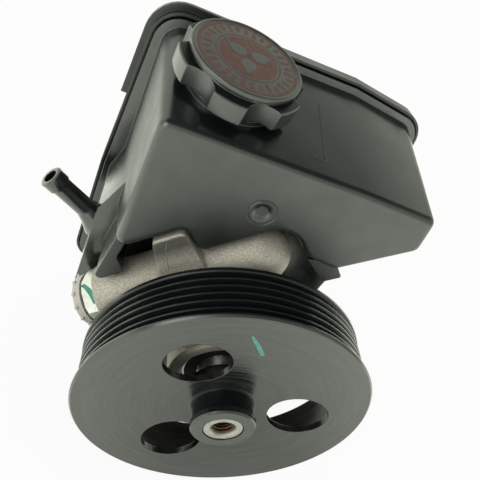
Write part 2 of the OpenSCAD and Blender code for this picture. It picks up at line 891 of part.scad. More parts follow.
module end_cover_snap_ring() {
  ends_gap = 12;
  color(col_dark_steel)
    split_ring_y(
      cavity_r + 1.3,
      cavity_r - 2.2,
      cover_ring_y + seat_gap / 2,
      cover_ring_y + snap_t,
      ends_gap
    );
}

// Flow control valve
module flow_valve_spool() {
  r = valve_bore_r - slide_gap;
  waist_r = r - 2;
  front_land = 7;
  rear_land = 11;
  vent_r = 1.2;
  vent_depth = 6;
  color(col_steel) valve_frame() difference() {
    along_u(r, spool_front_u, spool_rear_u);
    difference() {
      along_u(r + cut, spool_front_u + front_land, spool_rear_u - rear_land);
      along_u(waist_r, spool_front_u, spool_rear_u);
    }
    along_u(spool_cup_r, spool_cup_u, spool_rear_u + cut);
    along_u(vent_r, spool_front_u - cut, spool_front_u + vent_depth);
  }
}

module flow_valve_spring() {
  wire = 0.8;
  coil_r = spool_cup_r - wire - part_gap;
  start = spool_cup_u + wire + seat_gap;
  room = bore_end_u - start - wire - seat_gap;
  turns = 7;
  color(col_steel) valve_frame() translate([start, 0, 0]) rotate([0, 90, 0])
    coil(coil_r, wire, room / turns, turns, 16);
}

// Hexagon union screwed into the valve boss
module outlet_fitting() {
  hex_r = outlet_af / 2 / cos(30);
  face_r = outlet_af / 2 + 0.4;
  seat = 2.4;
  seal_half_w = outlet_oring_r + seat_gap;
  color(col_steel) valve_frame() difference() {
    union() {
      intersection() {
        rotate([hex_turn, 0, 0]) along_u(hex_r, plug_u, outlet_shank_u - press_gap, 6);
        translate([plug_u, 0, 0]) rotate([0, 90, 0])
          cylinder(r1 = face_r, r2 = face_r + outlet_hex_len * 1.2, h = outlet_hex_len);
      }
      along_u(outlet_thread_r, outlet_shank_u - 1, shank_end_u);
    }
    along_u(outlet_bore_r, plug_u - cut, shank_end_u + cut);
    translate([plug_u - 0.01, 0, 0]) rotate([0, 90, 0])
      cylinder(r1 = outlet_bore_r + seat, r2 = outlet_bore_r, h = seat);
    difference() {
      translate([outlet_oring_u, 0, 0]) along_u(outlet_thread_r + cut, -seal_half_w, seal_half_w);
      along_u(outlet_thread_r - 2 * outlet_oring_r - oring_gap, outlet_shank_u, shank_end_u);
    }
  }
}

module outlet_oring() {
  ring_r = outlet_thread_r - outlet_oring_r - oring_gap / 2;
  color(col_rubber) valve_frame() translate([outlet_oring_u, 0, 0]) rotate([0, 90, 0])
    rotate_extrude() translate([ring_r, 0]) circle(r = outlet_oring_r - oring_gap / 2);
}

// Push-in dust plug with a thin flange and small grip nubs
module outlet_dust_plug() {
  stem_r = outlet_bore_r - seat_gap;
  stem_len = 9;
  nubs = 12;
  nub_r = 0.8;
  face_u = plug_u - plug_gap;
  back_u = face_u - plug_flange_t;
  color(col_plug) valve_frame() union() {
    along_u(plug_flange_r, back_u, face_u);
    along_u(stem_r, face_u - 0.5, plug_u + stem_len);
    for (i = [0:nubs - 1])
      rotate([i * 360 / nubs, 0, 0]) translate([0, 0, plug_flange_r]) along_u(nub_r, back_u, back_u + 1.2);
  }
}

// Reservoir walls at a distance behind the mounting plane
function back(y) = min(y, rim_y) - res_front_y;
function along(y) = back(y) / back(rim_y);
function left_at(y) = -res_left - back(y) * tan(side_draft);
function right_at(y) = res_right + back(y) * tan(side_draft) / 3;
function top_at(y) = res_top + back(y) * tan(top_slope);
function ridge_at(y) = top_at(y) + ridge_rise * (0.2 + 0.8 * along(y));
function on_top(x, y) =
  [x, top_at(y) + (ridge_at(y) - top_at(y)) * (x - left_at(y)) / (ridge_x - left_at(y))];
function top_round(y) = 3.6 + 4.6 * along(y);
function foot_at(y) = column_foot - column_drop * (min(y, rim_y) - can_y) / (rim_y - can_y);

// Corners of the top and the right side, which the box and the tank share
function right_corners(y) = [
  [[right_at(y) + hip_out, res_top - hip_down], 4 + 4.2 * along(y)],
  [[right_at(y), top_at(y)], top_round(y)],
  [[ridge_x, ridge_at(y)], 0]
];

// Upper box over the valve boss, anticlockwise from a point on its top
function box_outline(y) =
  let (left = left_at(y))
  rounded(concat(
    [
      [on_top(box_start_x, y), 0],
      [[left, top_at(y)], top_round(y)],
      [[left, (notch_n + left * valve_s) / valve_c], 3.4],
      [slanted(notch_u, notch_n), 2.6],
      [slanted(notch_u + notch_lean, arch_n), 3.4],
      [slanted(arch_end_u, arch_n), 9],
      [slanted(arch_end_u + notch_lean, valve_off - 2.5), 3.4],
      [slanted(shoulder_u, shoulder_n), 3.4]
    ],
    right_corners(y)
  ));

// Foot of the left column and the round can about the pump barrel
function lower_corners(y) =
  concat(
    [[[panel_x, panel_top], 0], [[panel_x, foot_at(y)], foot_round]],
    [
      for (i = [0:can_steps])
        [polar(can_r, can_start_deg + (can_end_deg - can_start_deg) * i / can_steps), 0]
    ]
  );

// Lower tank, whose top lies inside the box
function can_outline(y) =
  rounded(concat(
    [[[left_at(y) + root_in, panel_root_z], 0]],
    lower_corners(y),
    [[[right_at(y) - root_in, can_root_z], 0]]
  ));

// Whole outline of the tank at the weld
function weld_outline() =
  rounded(concat(
    [
      [on_top(weld_start_x, weld_y), 0],
      [[left_at(weld_y), top_at(weld_y)], top_round(weld_y)]
    ],
    lower_corners(weld_y),
    [[[right_at(weld_y) - 1, tank_hip_z], 0]],
    right_corners(weld_y)
  ), weld_corner_steps);

module box_outer() {
  loft(concat(
    [
      for (a = [0:30:90])
        let (y = res_front_y + edge_r * (1 - cos(a)))
        at_y(inset(box_outline(y), edge_r * (1 - sin(a))), y)
    ],
    [for (y = [rim_y, weld_y]) at_y(box_outline(y), y)]
  ));
}

module box_inner() {
  loft([for (y = [res_front_y + res_wall, rim_y, weld_y + cut]) at_y(inset(box_outline(y), res_wall), y)]);
}

module can_outer() {
  loft([for (y = [can_y, rim_y, weld_y]) at_y(can_outline(y), y)]);
}

module can_inner() {
  loft([for (y = [can_y + res_wall, rim_y, weld_y + cut]) at_y(inset(can_outline(y), res_wall), y)]);
}

// Flange of the front moulding, which lies inside the lip of the rear one
module front_weld_flange() {
  prism_y(inset(weld_outline(), weld_lip + weld_gap - weld_flange), rim_y, rim_y + weld_flange_t);
}

// Flange of the rear moulding with a lip that runs forward round the edge and a wider left corner
module rear_weld_flange() {
  floor_y = weld_y + weld_step;
  lip_y = rim_y + 1;
  difference() {
    prism_y(inset(weld_outline(), -weld_flange), lip_y, rear_rim_y);
    prism_y(inset(weld_outline(), weld_lip - weld_flange), lip_y - cut, floor_y);
  }
  intersection() {
    prism_y(inset(weld_outline(), -weld_flange - weld_ear), floor_y + 0.4, rear_rim_y - 0.4);
    translate([ear_end_x - rear_depth * 2, weld_y, ear_foot_z])
      cube([rear_depth * 2, rear_depth, res_top]);
  }
}

// Prism across X and Z from y0 to y1
module prism_y(points, y0, y1) {
  translate([0, y1, 0]) rotate([90, 0, 0]) linear_extrude(y1 - y0) polygon(points);
}

// Tongue that hangs beside the valve boss
module leg() {
  top = 48;
  top_w = 4;
  neck_w = 2.6;
  neck_z = 37.5;
  lean = 3.6;
  left = -res_left + 0.2;
  foot = left - lean;
  inner_u = -19.5;
  prism_y(
    rounded([
      [[left, top], 0],
      [[foot, (leg_n + foot * valve_s) / valve_c], 2],
      [slanted(inner_u, leg_n), 2],
      [[left + neck_w, neck_z], 3],
      [[left + top_w, top], 0]
    ]),
    res_front_y + 2,
    can_y + 0.5
  );
}

// Hooked tab at the right end of the arch
module tab() {
  step = 0.8;
  depth = 12;
  prism_y(
    rounded([
      [slanted(arch_end_u + 1.5, valve_off - 4), 0],
      [slanted(arch_end_u + 4, shoulder_n - 5), 1],
      [slanted(shoulder_u + 1.8, shoulder_n - 5.4), 1],
      [slanted(shoulder_u + 1.6, shoulder_n + 0.6), 0.4],
      [slanted(shoulder_u - 1, shoulder_n + 4), 0]
    ]),
    res_front_y + step,
    res_front_y + depth
  );
}

// Local frame of the return nipple: Z along its axis, origin at its tip
module nipple_frame() {
  translate(nipple_tip)
    rotate([0, acos(nipple_axis.z), atan2(nipple_axis.y, nipple_axis.x)]) children();
}

module nipple_outer() {
  lead = 1.2;
  nipple_frame() rotate_extrude() polygon([
    [0, -nipple_len],
    [nipple_r + 4, -nipple_len],
    [nipple_r + 1.2, -nipple_len + 6],
    [nipple_r, -nipple_len + 10],
    [nipple_r, -nipple_bead_len - lead],
    [nipple_bead_r, -nipple_bead_len],
    [nipple_bead_r, -0.4],
    [nipple_bead_r - 0.6, 0],
    [0, 0]
  ]);
}

// Lug behind each clip
module clip_lugs() {
  root = 2;
  step = 0.4;
  for (a = clip_angles)
    rotate([0, -a, 0]) translate([can_r - root, can_y + step, -clip_w / 2])
      cube([clip_r - can_r + root, clip_lug_t - step, clip_w]);
}

// Sprue dimple on the front face, in a shallow ring
module gate_mark() {
  pit_r = 2.4;
  pit_depth = 0.9;
  bowl_r = 4;
  ring_in = 4.9;
  ring_out = 5.6;
  ring_depth = 0.35;
  translate([gate_x, res_front_y, gate_z]) rotate([-90, 0, 0]) {
    translate([0, 0, -cut]) cylinder(r = pit_r, h = cut + pit_depth);
    translate([0, 0, -0.1]) cylinder(r1 = bowl_r, r2 = pit_r, h = pit_depth + 0.1);
    difference() {
      translate([0, 0, -cut]) cylinder(r = ring_out, h = cut + ring_depth);
      translate([0, 0, -2 * cut]) cylinder(r = ring_in, h = 4 * cut);
    }
  }
}

// Front moulding: box, tank, can front, filler neck and return nipple
module reservoir_front() {
  bore_run = 7;
  collar_wall = 3;
  color(col_plastic) {
    difference() {
      union() {
        box_outer();
        can_outer();
        leg();
        tab();
        front_weld_flange();
        clip_lugs();
        nipple_outer();
        cap_frame() {
          translate([0, 0, -cap_rise - neck_root]) {
            cylinder(r = neck_r, h = cap_rise + neck_root + neck_top);
            cylinder(r = neck_r + neck_collar, h = cap_rise + neck_root + collar_top);
          }
        }
      }
      box_inner();
      can_inner();
      along_y(collar_r, can_y - cut, can_y + res_wall + cut);
      cap_frame() translate([0, 0, -cap_rise - bore_run])
        cylinder(r = neck_r - neck_wall, h = cap_rise + bore_run);
      nipple_frame() translate([0, 0, -nipple_len - bore_run])
        cylinder(r = nipple_bore_r, h = nipple_len + bore_run + cut);
      gate_mark();
    }
    ring_y(collar_r + collar_wall, collar_r, can_y, can_y + collar_len);
  }
}

// Rear moulding that closes the tank behind the pump
module reservoir_rear() {
  lean = 2;
  color(col_plastic) difference() {
    union() {
      loft(concat(
        [for (y = [weld_y, rear_rim_y]) at_y(weld_outline(), y)],
        [
          for (a = [0:30:90])
            let (d = lean + rear_edge_r * (1 - cos(a)))
            at_y(inset(weld_outline(), d), rear_y - rear_edge_r * (1 - sin(a)))
        ]
      ));
      rear_weld_flange();
    }
    loft([
      at_y(inset(weld_outline(), res_wall), weld_y - cut),
      at_y(inset(weld_outline(), res_wall), rear_rim_y),
      at_y(inset(weld_outline(), res_wall + lean), rear_y - rear_edge_r - res_wall / 2),
      at_y(inset(weld_outline(), res_wall + lean + rear_edge_r / 2), rear_y - res_wall)
    ]);
  }
}

module reservoir_oring() {
  color(col_rubber) oring_y(collar_r - oring_gap - oring_r, oring_r, res_oring_y);
}

// Spring clips that hook the can to the housing ears
module retaining_clips() {
  front = clip_ear_y - seat_gap - clip_t;
  rear = can_y + clip_lug_t + seat_gap;
  outer = clip_r + seat_gap;
  width = clip_w - 2 * clip_inset;
  color(col_dark_steel) for (a = clip_angles)
    rotate([0, -a, 0]) translate([0, 0, -width / 2]) union() {
      translate([outer - clip_hook, front, 0]) cube([clip_hook + clip_t, clip_t, width]);
      translate([outer, front, 0]) cube([clip_t, rear + clip_t - front, width]);
      translate([can_r + part_gap, rear, 0])
        cube([outer + clip_t - can_r - part_gap, clip_t, width]);
    }
}

// Filler cap with a flat crown and finger scoops round its skirt
module filler_cap() {
  crown_neck_r = crown_r - 1.2;
  crown_lip = 1.3;
  crown_recess = 0.3;
  bevel = 0.5;
  scoop_top = crown_t + 0.6;
  skirt_gap = 0.4;
  color(col_black) cap_frame() difference() {
    rotate_extrude() polygon([
      [0, -cap_h],
      [lobe_r - bevel, -cap_h],
      [lobe_r, -cap_h + bevel],
      [lobe_r, -ledge_t - bevel],
      [lobe_r - bevel, -ledge_t],
      [crown_neck_r, -ledge_t],
      [crown_neck_r, -crown_t],
      [crown_r, -crown_t],
      [crown_r, -bevel],
      [crown_r - bevel, 0],
      [crown_r - crown_lip, 0],
      [crown_r - crown_lip - crown_recess, -crown_recess],
      [0, -crown_recess]
    ]);
    for (i = [0:scoop_count - 1])
      rotate(scoop_deg + i * 360 / scoop_count)
        translate([lobe_r - scoop_depth + scoop_r, 0, -cap_h - cut])
          cylinder(r = scoop_r, h = cap_h + cut - scoop_top);
    translate([0, 0, -cap_h - cut]) cylinder(r = neck_r + skirt_gap, h = cap_h + cut - cap_top_t);
  }
}

module cap_gasket() {
  bottom = neck_top + run_gap;
  color(col_rubber) cap_frame() translate([0, 0, bottom]) difference() {
    cylinder(r = neck_r, h = gasket_t);
    translate([0, 0, -cut]) cylinder(r = neck_r - neck_wall + 0.2, h = gasket_t + 2 * cut);
  }
}

// Dipstick blade under the cap, with two level notches
module dipstick() {
  blade_w = 6;
  blade_t = 1.6;
  root_h = 4;
  notch = 1.2;
  low_mark = 8;
  full_mark = 20;
  tip = -cap_top_t - dipstick_len;
  color(col_black) cap_frame() difference() {
    union() {
      translate([0, 0, -cap_top_t - root_h]) cylinder(r = blade_w / 2 + 1, h = root_h);
      translate([-blade_w / 2, -blade_t / 2, tip]) cube([blade_w, blade_t, dipstick_len - 1]);
    }
    for (level = [low_mark, full_mark], side = [-1, 1])
      translate([side * blade_w / 2 - notch / 2, -blade_t, tip + level]) cube([notch, 2 * blade_t, notch]);
  }
}

pulley();
drive_shaft();
pump_housing();
bearing_outer_race();
bearing_inner_race();
bearing_balls();
bearing_cage();
bearing_seals();
bearing_snap_ring();
shaft_seal();
rear_bush();
thrust_plate();
cam_ring();
rotor();
vanes();
rotor_snap_ring();
dowel_pins();
pressure_plate();
pressure_plate_oring();
pressure_plate_spring();
end_cover();
end_cover_oring();
end_cover_snap_ring();
flow_valve_spool();
flow_valve_spring();
outlet_fitting();
outlet_oring();
outlet_dust_plug();
reservoir_front();
reservoir_rear();
reservoir_oring();
retaining_clips();
filler_cap();
cap_gasket();
dipstick();
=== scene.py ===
import json
import math

import bmesh
import bpy
from mathutils import Matrix, Vector
from mathutils.bvhtree import BVHTree


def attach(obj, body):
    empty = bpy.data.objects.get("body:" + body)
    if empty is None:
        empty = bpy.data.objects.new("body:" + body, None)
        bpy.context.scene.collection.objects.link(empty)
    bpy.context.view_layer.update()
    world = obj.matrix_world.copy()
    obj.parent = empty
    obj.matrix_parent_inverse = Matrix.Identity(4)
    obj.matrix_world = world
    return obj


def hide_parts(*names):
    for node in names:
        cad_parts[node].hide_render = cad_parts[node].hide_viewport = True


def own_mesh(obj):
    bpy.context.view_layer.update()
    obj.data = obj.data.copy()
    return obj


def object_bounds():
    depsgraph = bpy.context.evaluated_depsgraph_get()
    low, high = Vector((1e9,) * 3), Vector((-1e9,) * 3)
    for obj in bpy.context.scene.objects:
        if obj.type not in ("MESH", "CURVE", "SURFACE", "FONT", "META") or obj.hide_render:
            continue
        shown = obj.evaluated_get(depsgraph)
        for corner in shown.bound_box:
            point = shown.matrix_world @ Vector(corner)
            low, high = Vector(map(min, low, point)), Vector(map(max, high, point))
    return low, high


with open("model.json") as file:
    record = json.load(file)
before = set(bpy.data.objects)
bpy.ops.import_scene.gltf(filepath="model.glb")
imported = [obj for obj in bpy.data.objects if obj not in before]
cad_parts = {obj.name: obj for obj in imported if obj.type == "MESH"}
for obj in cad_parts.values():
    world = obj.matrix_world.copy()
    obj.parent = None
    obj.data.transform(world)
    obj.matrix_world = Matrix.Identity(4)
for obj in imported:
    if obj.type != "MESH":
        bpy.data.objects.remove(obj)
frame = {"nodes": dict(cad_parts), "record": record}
cad_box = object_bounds()
nodes = frame["nodes"]
MM = 0.001

# Camera at the photograph's place, in millimetres of the row frame
CAMERA_AT = Vector((-75.3, -136.8, 172.1))
CAMERA_FORWARD = Vector((0.30209691, 0.75389973, -0.58341465))
CAMERA_UP = Vector((-0.28398519, 0.65539494, 0.69986418))
CAMERA_FOV_DEG = 52.67
CAMERA_CLIP = 0.005

# Slanted valve axis and the filler cap's frame, in millimetres
VALVE_U = Vector((math.cos(math.radians(43.0)), 0.0, math.sin(math.radians(43.0))))
VALVE_N = Vector((-VALVE_U.z, 0.0, VALVE_U.x))
VALVE_AXIS = (45.6, 9.8)
CAP_AT = Vector((-40.4, 27.5, 120.985))
CAP_TILT = math.radians(11.5)


# Node graph helpers
def new_material(name):
    material = bpy.data.materials.new(name)
    material.use_nodes = True
    tree = material.node_tree
    return material, tree, tree.nodes["Principled BSDF"]


def add(tree, kind, **values):
    node = tree.nodes.new(kind)
    for key, value in values.items():
        setattr(node, key, value)
    return node


def link(tree, source, target):
    """Links an input to an output, or gives it a plain number or colour."""
    if isinstance(source, tuple):
        target.default_value = (*source, 1.0)
    elif isinstance(source, (int, float)):
        target.default_value = source
    else:
        tree.links.new(source, target)


def parts(tree, vector):
    """X, Y and Z of a vector."""
    node = add(tree, "ShaderNodeSeparateXYZ")
    link(tree, vector, node.inputs[0])
    return node.outputs


def position(tree):
    """Place on the piece in the row frame, in metres."""
    return add(tree, "ShaderNodeTexCoord").outputs["Object"]


def noise(tree, scale, detail=3.0, roughness=0.55, vector=None):
    node = add(tree, "ShaderNodeTexNoise")
    node.inputs["Scale"].default_value = scale
    node.inputs["Detail"].default_value = detail
    node.inputs["Roughness"].default_value = roughness
    link(tree, vector or position(tree), node.inputs["Vector"])
    return node.outputs["Fac"]


def ramp(tree, factor, stops):
    node = add(tree, "ShaderNodeValToRGB")
    elements = node.color_ramp.elements
    while len(elements) < len(stops):
        elements.new(0.5)
    for element, (place, colour) in zip(elements, stops):
        element.position = place
        element.color = (*colour, 1.0)
    link(tree, factor, node.inputs["Fac"])
    return node.outputs["Color"]


def blend_colour(tree, factor, first, second, mode="MIX"):
    node = add(tree, "ShaderNodeMix", data_type="RGBA", blend_type=mode)
    sockets = [s for s in node.inputs if s.type == "RGBA"]
    for socket, value in zip(sockets, (first, second)):
        link(tree, value, socket)
    link(tree, factor, node.inputs["Factor"])
    return next(s for s in node.outputs if s.type == "RGBA")


def grey(value):
    return (value, value, value)


def maths(tree, operation, a, b=None, clamp=False):
    node = add(tree, "ShaderNodeMath", operation=operation, use_clamp=clamp)
    for socket, value in zip(node.inputs, (a, b)):
        if value is not None:
            link(tree, value, socket)
    return node.outputs[0]


def bump(tree, shader, height, strength, distance, normal=None):
    node = add(tree, "ShaderNodeBump")
    node.inputs["Strength"].default_value = strength
    node.inputs["Distance"].default_value = distance
    link(tree, height, node.inputs["Height"])
    if normal is not None:
        link(tree, normal, node.inputs["Normal"])
    link(tree, node.outputs["Normal"], shader.inputs["Normal"])


BEVEL_SAMPLES = 6
EDGE_GAIN = 6.0


def soft_edge(tree, radius_mm):
    """Normal that rounds the edges, and a mask that is bright along them."""
    node = add(tree, "ShaderNodeBevel", samples=BEVEL_SAMPLES)
    node.inputs["Radius"].default_value = radius_mm * MM
    dot = add(tree, "ShaderNodeVectorMath", operation="DOT_PRODUCT")
    link(tree, node.outputs["Normal"], dot.inputs[0])
    link(tree, add(tree, "ShaderNodeNewGeometry").outputs["Normal"], dot.inputs[1])
    turned = maths(tree, "SUBTRACT", 1.0, dot.outputs["Value"])
    return node.outputs["Normal"], maths(tree, "MULTIPLY", turned, EDGE_GAIN, clamp=True)


def facing(tree, axis, start, end, most):
    """Mask that grows to the given value on faces that look to the front (Y) or to the left (X)."""
    split = parts(tree, add(tree, "ShaderNodeNewGeometry").outputs["Normal"])
    toward = maths(tree, "MULTIPLY", split[axis], -1.0)
    return ramp(tree, toward, [(start, grey(0.0)), (end, grey(most))])


def reach(tree, axis, start_mm, end_mm):
    """Mask that grows from nothing to one between two places on an axis of the row frame."""
    past = maths(tree, "SUBTRACT", parts(tree, position(tree))[axis], start_mm * MM)
    return maths(tree, "DIVIDE", past, (end_mm - start_mm) * MM, clamp=True)


def shaft_radius(tree):
    """Distance from the shaft axis, in metres, and the place's X, Y and Z."""
    split = parts(tree, position(tree))
    x2 = maths(tree, "POWER", split["X"], 2.0)
    z2 = maths(tree, "POWER", split["Z"], 2.0)
    return maths(tree, "SQRT", maths(tree, "ADD", x2, z2)), split


# Materials; the tank's skin is duller on its front and, above the legs, on its left
EDGE_SCUFF = (0.05, 0.054, 0.05)
DULL_FRONT_Y = (18.0, 10.0)
DULL_LEFT_Z = (42.0, 66.0)


def moulded(name, dark, light, rough, grain=0.05, edge_mm=0.6, worn=EDGE_SCUFF, specular=1.0, dull=0.0):
    """Satin moulded plastic with a fine skin grain, faint flow marks and scuffed edges."""
    material, tree, shader = new_material(name)
    flow = noise(tree, 26.0, 5.0, 0.6)
    base = ramp(tree, flow, [(0.3, dark), (0.7, light)])
    normal, edge = soft_edge(tree, edge_mm)
    scuff = maths(tree, "MULTIPLY", edge, noise(tree, 420.0, 3.0, 0.7))
    link(tree, blend_colour(tree, scuff, base, worn), shader.inputs["Base Color"])
    sheen = ramp(tree, noise(tree, 90.0, 4.0, 0.65), [(0.3, grey(rough - 0.05)), (0.7, grey(rough + 0.07))])
    front = maths(tree, "MULTIPLY", facing(tree, "Y", 0.75, 0.95, dull), reach(tree, "Y", *DULL_FRONT_Y))
    left = maths(tree, "MULTIPLY", facing(tree, "X", 0.6, 0.85, dull), reach(tree, "Z", *DULL_LEFT_Z))
    link(tree, maths(tree, "ADD", sheen, maths(tree, "ADD", front, left)), shader.inputs["Roughness"])
    shader.inputs["Specular IOR Level"].default_value = specular
    bump(tree, shader, noise(tree, 1500.0, 2.0), grain, 0.0004, normal)
    return material


def turned_black(name, specular, rough, painted_sheen=0.0):
    """Black coat over turned steel, with rings about the shaft axis and a painted sheen, lighter colour
    along the turning arcs, on front faces.
    """
    material, tree, shader = new_material(name)
    radius, split = shaft_radius(tree)
    ring = add(tree, "ShaderNodeCombineXYZ")
    link(tree, radius, ring.inputs["X"])
    link(tree, maths(tree, "MULTIPLY", split["Y"], 0.6), ring.inputs["Y"])
    rings = noise(tree, 1300.0, 3.0, 0.7, ring.outputs[0])
    angle = maths(tree, "ARCTAN2", split["Z"], split["X"])
    arc = add(tree, "ShaderNodeCombineXYZ")
    link(tree, maths(tree, "MULTIPLY", radius, 620.0), arc.inputs["X"])
    link(tree, maths(tree, "MULTIPLY", angle, 1.6), arc.inputs["Y"])
    link(tree, maths(tree, "MULTIPLY", split["Y"], 300.0), arc.inputs["Z"])
    arcs = noise(tree, 1.0, 4.0, 0.62, arc.outputs[0])
    bands = noise(tree, 170.0, 2.0, 0.5, ring.outputs[0])
    base = ramp(tree, bands, [(0.3, (0.0035, 0.005, 0.0056)), (0.7, (0.0065, 0.0085, 0.0088))])
    normal, edge = soft_edge(tree, 0.4)
    specks = maths(tree, "SUBTRACT", noise(tree, 700.0, 4.0, 0.75), 0.62, clamp=True)
    base = blend_colour(tree, maths(tree, "MULTIPLY", specks, 0.5), base, (0.2, 0.2, 0.18))
    # Painted sheen: front faces are lightened along the turning arcs, standing in for the light they catch
    painted_streak = ramp(tree, arcs, [(0.42, grey(0.06)), (0.74, grey(0.32))])
    painted_streak = maths(tree, "MULTIPLY", painted_streak, facing(tree, "Y", 0.7, 0.9, painted_sheen))
    base = blend_colour(tree, painted_streak, base, (0.095, 0.104, 0.097))
    rub = maths(tree, "MULTIPLY", edge, maths(tree, "MULTIPLY", noise(tree, 260.0, 3.0, 0.7), 0.2))
    link(tree, blend_colour(tree, rub, base, (0.09, 0.095, 0.09)), shader.inputs["Base Color"])
    patches = maths(tree, "MULTIPLY", noise(tree, 60.0, 4.0), 0.4)
    sweep = maths(tree, "ADD", patches, maths(tree, "MULTIPLY", arcs, 0.6))
    sheen = ramp(tree, sweep, [(0.36, grey(rough - 0.07)), (0.64, grey(rough + 0.1))])
    link(tree, sheen, shader.inputs["Roughness"])
    shader.inputs["Specular IOR Level"].default_value = specular
    bump(tree, shader, maths(tree, "ADD", rings, arcs), 0.3, 0.0003, normal)
    return material


# Casting's grain, from hollows to specks, and the pad's band of painted shade by height in tenths of a
# metre
CAST_GRAIN = [(0.28, (0.285, 0.266, 0.236)), (0.55, (0.475, 0.446, 0.402)), (0.74, (0.71, 0.676, 0.625))]
PAD_SHADE_BAND = [(0.63, grey(0.0)), (0.69, grey(1.0)), (0.729, grey(1.0)), (0.733, grey(0.0))]
PAD_SHADE_COLOUR = (0.035, 0.04, 0.036)


def cast(name):
    """Grainy cast aluminium with bright specks, and painted shade on the front of the valve boss's pad
    under the tank.
    """
    material, tree, shader = new_material(name)
    grain = noise(tree, 1500.0, 4.0, 0.7)
    cloud = noise(tree, 60.0, 4.0, 0.6)
    base = ramp(tree, grain, CAST_GRAIN)
    tone = ramp(tree, cloud, [(0.3, (0.78, 0.77, 0.74)), (0.7, (1.0, 0.99, 0.97))])
    normal, edge = soft_edge(tree, 0.9)
    base = blend_colour(tree, 1.0, base, tone, "MULTIPLY")
    height = add(tree, "ShaderNodeVectorMath", operation="DOT_PRODUCT")
    link(tree, position(tree), height.inputs[0])
    height.inputs[1].default_value = tuple(VALVE_N * 10.0)
    uneven = maths(tree, "ADD", height.outputs["Value"], maths(tree, "MULTIPLY", cloud, 0.04))
    # Painted shade: the front of the pad under the tank is darkened where the tank's overhang shades it
    painted_shade = maths(tree, "MULTIPLY", ramp(tree, uneven, PAD_SHADE_BAND), facing(tree, "Y", 0.5, 0.8, 0.88))
    base = blend_colour(tree, painted_shade, base, PAD_SHADE_COLOUR)
    rub = maths(tree, "MULTIPLY", edge, maths(tree, "MULTIPLY", cloud, 0.25))
    link(tree, blend_colour(tree, rub, base, (0.6, 0.58, 0.54)), shader.inputs["Base Color"])
    shader.inputs["Metallic"].default_value = 0.42
    link(tree, ramp(tree, grain, [(0.3, grey(0.56)), (0.8, grey(0.34))]), shader.inputs["Roughness"])
    bump(tree, shader, grain, 0.5, 0.0006, normal)
    return material


def metal(name, dark, light, rough, scale=300.0):
    """Bare or plated steel with a fine brushed variation."""
    material, tree, shader = new_material(name)
    marks = noise(tree, scale, 4.0, 0.65)
    normal, edge = soft_edge(tree, 0.25)
    base = ramp(tree, marks, [(0.3, dark), (0.7, light)])
    rub = maths(tree, "MULTIPLY", edge, 0.5)
    link(tree, blend_colour(tree, rub, base, (0.8, 0.79, 0.76)), shader.inputs["Base Color"])
    shader.inputs["Metallic"].default_value = 0.95
    sheen = ramp(tree, marks, [(0.3, grey(rough - 0.06)), (0.7, grey(rough + 0.08))])
    link(tree, sheen, shader.inputs["Roughness"])
    bump(tree, shader, marks, 0.1, 0.0002, normal)
    return material


def ground_shaft(name):
    """Ground steel shaft whose tapped bore is dark brown."""
    material, tree, shader = new_material(name)
    radius, _ = shaft_radius(tree)
    marks = noise(tree, 420.0, 4.0, 0.65)
    steel = ramp(tree, marks, [(0.3, (0.33, 0.32, 0.305)), (0.7, (0.47, 0.457, 0.436))])
    bore = ramp(tree, maths(tree, "MULTIPLY", radius, 100.0), [(0.47, grey(1.0)), (0.56, grey(0.0))])
    link(tree, blend_colour(tree, bore, steel, (0.075, 0.045, 0.024)), shader.inputs["Base Color"])
    shader.inputs["Metallic"].default_value = 0.8
    link(tree, ramp(tree, marks, [(0.3, grey(0.34)), (0.7, grey(0.5))]), shader.inputs["Roughness"])
    bump(tree, shader, marks, 0.12, 0.0002)
    return material


def paint(name, thin, thick):
    """Hand-brushed paint mark, thicker in its middle."""
    material, tree, shader = new_material(name)
    base = ramp(tree, noise(tree, 800.0, 4.0, 0.7), [(0.32, thin), (0.62, thick)])
    link(tree, base, shader.inputs["Base Color"])
    sheen = ramp(tree, noise(tree, 500.0), [(0.3, grey(0.38)), (0.7, grey(0.6))])
    link(tree, sheen, shader.inputs["Roughness"])
    bump(tree, shader, noise(tree, 1100.0), 0.2, 0.0002)
    return material


BLACK_PLASTIC = moulded("black_plastic", (0.004, 0.0062, 0.0064), (0.0078, 0.0105, 0.0103), 0.2, dull=0.24)
CAP_PLASTIC = moulded("cap_plastic", (0.021, 0.0242, 0.0228), (0.037, 0.0405, 0.038), 0.32,
                      grain=0.08, edge_mm=0.8)
# Painted shade: darker copy of the cap plastic for the shaded ledge round its crown
LEDGE_SHADE_PLASTIC = moulded("ledge_shade_plastic", (0.005, 0.007, 0.007), (0.009, 0.0115, 0.011), 0.3, specular=0.3)
BACK_PLASTIC = moulded("back_plastic", (0.006, 0.008, 0.008), (0.011, 0.0135, 0.013), 0.34,
                       grain=0.08, specular=0.6)
PALE_PLASTIC = moulded("pale_plastic", (0.46, 0.44, 0.405), (0.58, 0.555, 0.515), 0.42,
                       edge_mm=0.4, worn=(0.6, 0.58, 0.55), specular=0.4)
RUBBER = moulded("rubber", (0.01, 0.01, 0.01), (0.02, 0.02, 0.019), 0.66,
                 grain=0.12, edge_mm=0.3, worn=(0.04, 0.04, 0.04), specular=0.4)
BLACK_COAT = turned_black("black_coating", 0.82, 0.18, painted_sheen=1.0)
HUB_COAT = turned_black("hub_coating", 0.18, 0.36)
RIM_COAT = turned_black("rim_coating", 0.42, 0.2)
CAST = cast("cast_aluminium")
STEEL = metal("steel", (0.42, 0.4, 0.385), (0.6, 0.58, 0.56), 0.3)
ZINC = metal("zinc_steel", (0.42, 0.42, 0.4), (0.6, 0.6, 0.57), 0.34)
DARK_STEEL = metal("dark_steel", (0.14, 0.14, 0.15), (0.24, 0.24, 0.25), 0.42)
SEAM_DARK = metal("seam_dark", (0.03, 0.03, 0.027), (0.06, 0.058, 0.054), 0.55)
